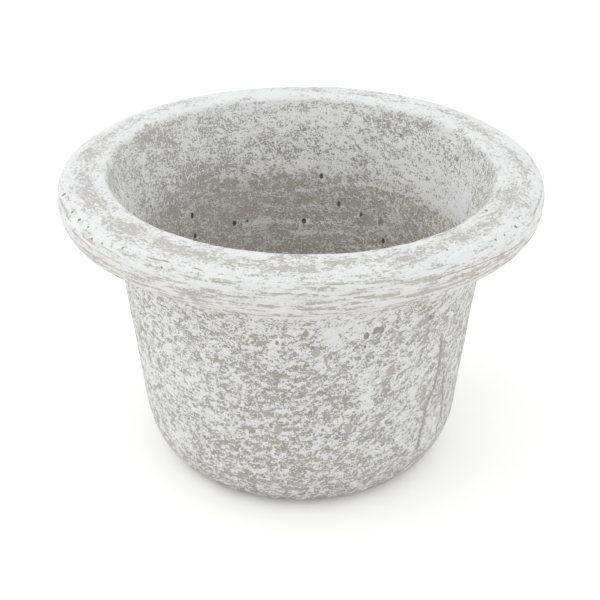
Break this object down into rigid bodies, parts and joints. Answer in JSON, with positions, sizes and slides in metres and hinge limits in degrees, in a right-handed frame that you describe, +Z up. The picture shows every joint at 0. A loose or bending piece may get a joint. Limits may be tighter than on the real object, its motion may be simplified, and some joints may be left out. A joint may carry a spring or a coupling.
{
  "type": "round concrete planter",
  "caption": "Round whitewashed concrete floor planter: tapered thin-walled pot with a broad rolled rim, rounded foot and a stoppered drain in its floor.",
  "frame": {"origin": "floor level under the centre of the pot", "axes": "+Z up along the pot's axis, -Y towards the viewer of the picture"},
  "size_m": [0.4, 0.4, 0.258],
  "materials": {
    "concrete": "rough cast, whitewashed and partly wiped off",
    "hoop_steel": "drawn wire",
    "sleeve_plastic": "moulded",
    "plug_rubber": "moulded",
    "pad_rubber": "moulded"
  },
  "bodies": {
    "pot": {"concrete_pot": "concrete", "rim_hoop": "hoop_steel", "drain_sleeve": "sleeve_plastic", "foot_pads": "pad_rubber"},
    "plug": {"drain_plug": "plug_rubber"}
  },
  "joints": [
    {"name": "plug_lift", "type": "slide", "parent": "pot", "child": "plug", "axis": [0, 0, 1], "range_m": [0, 0.26]}
  ]
}
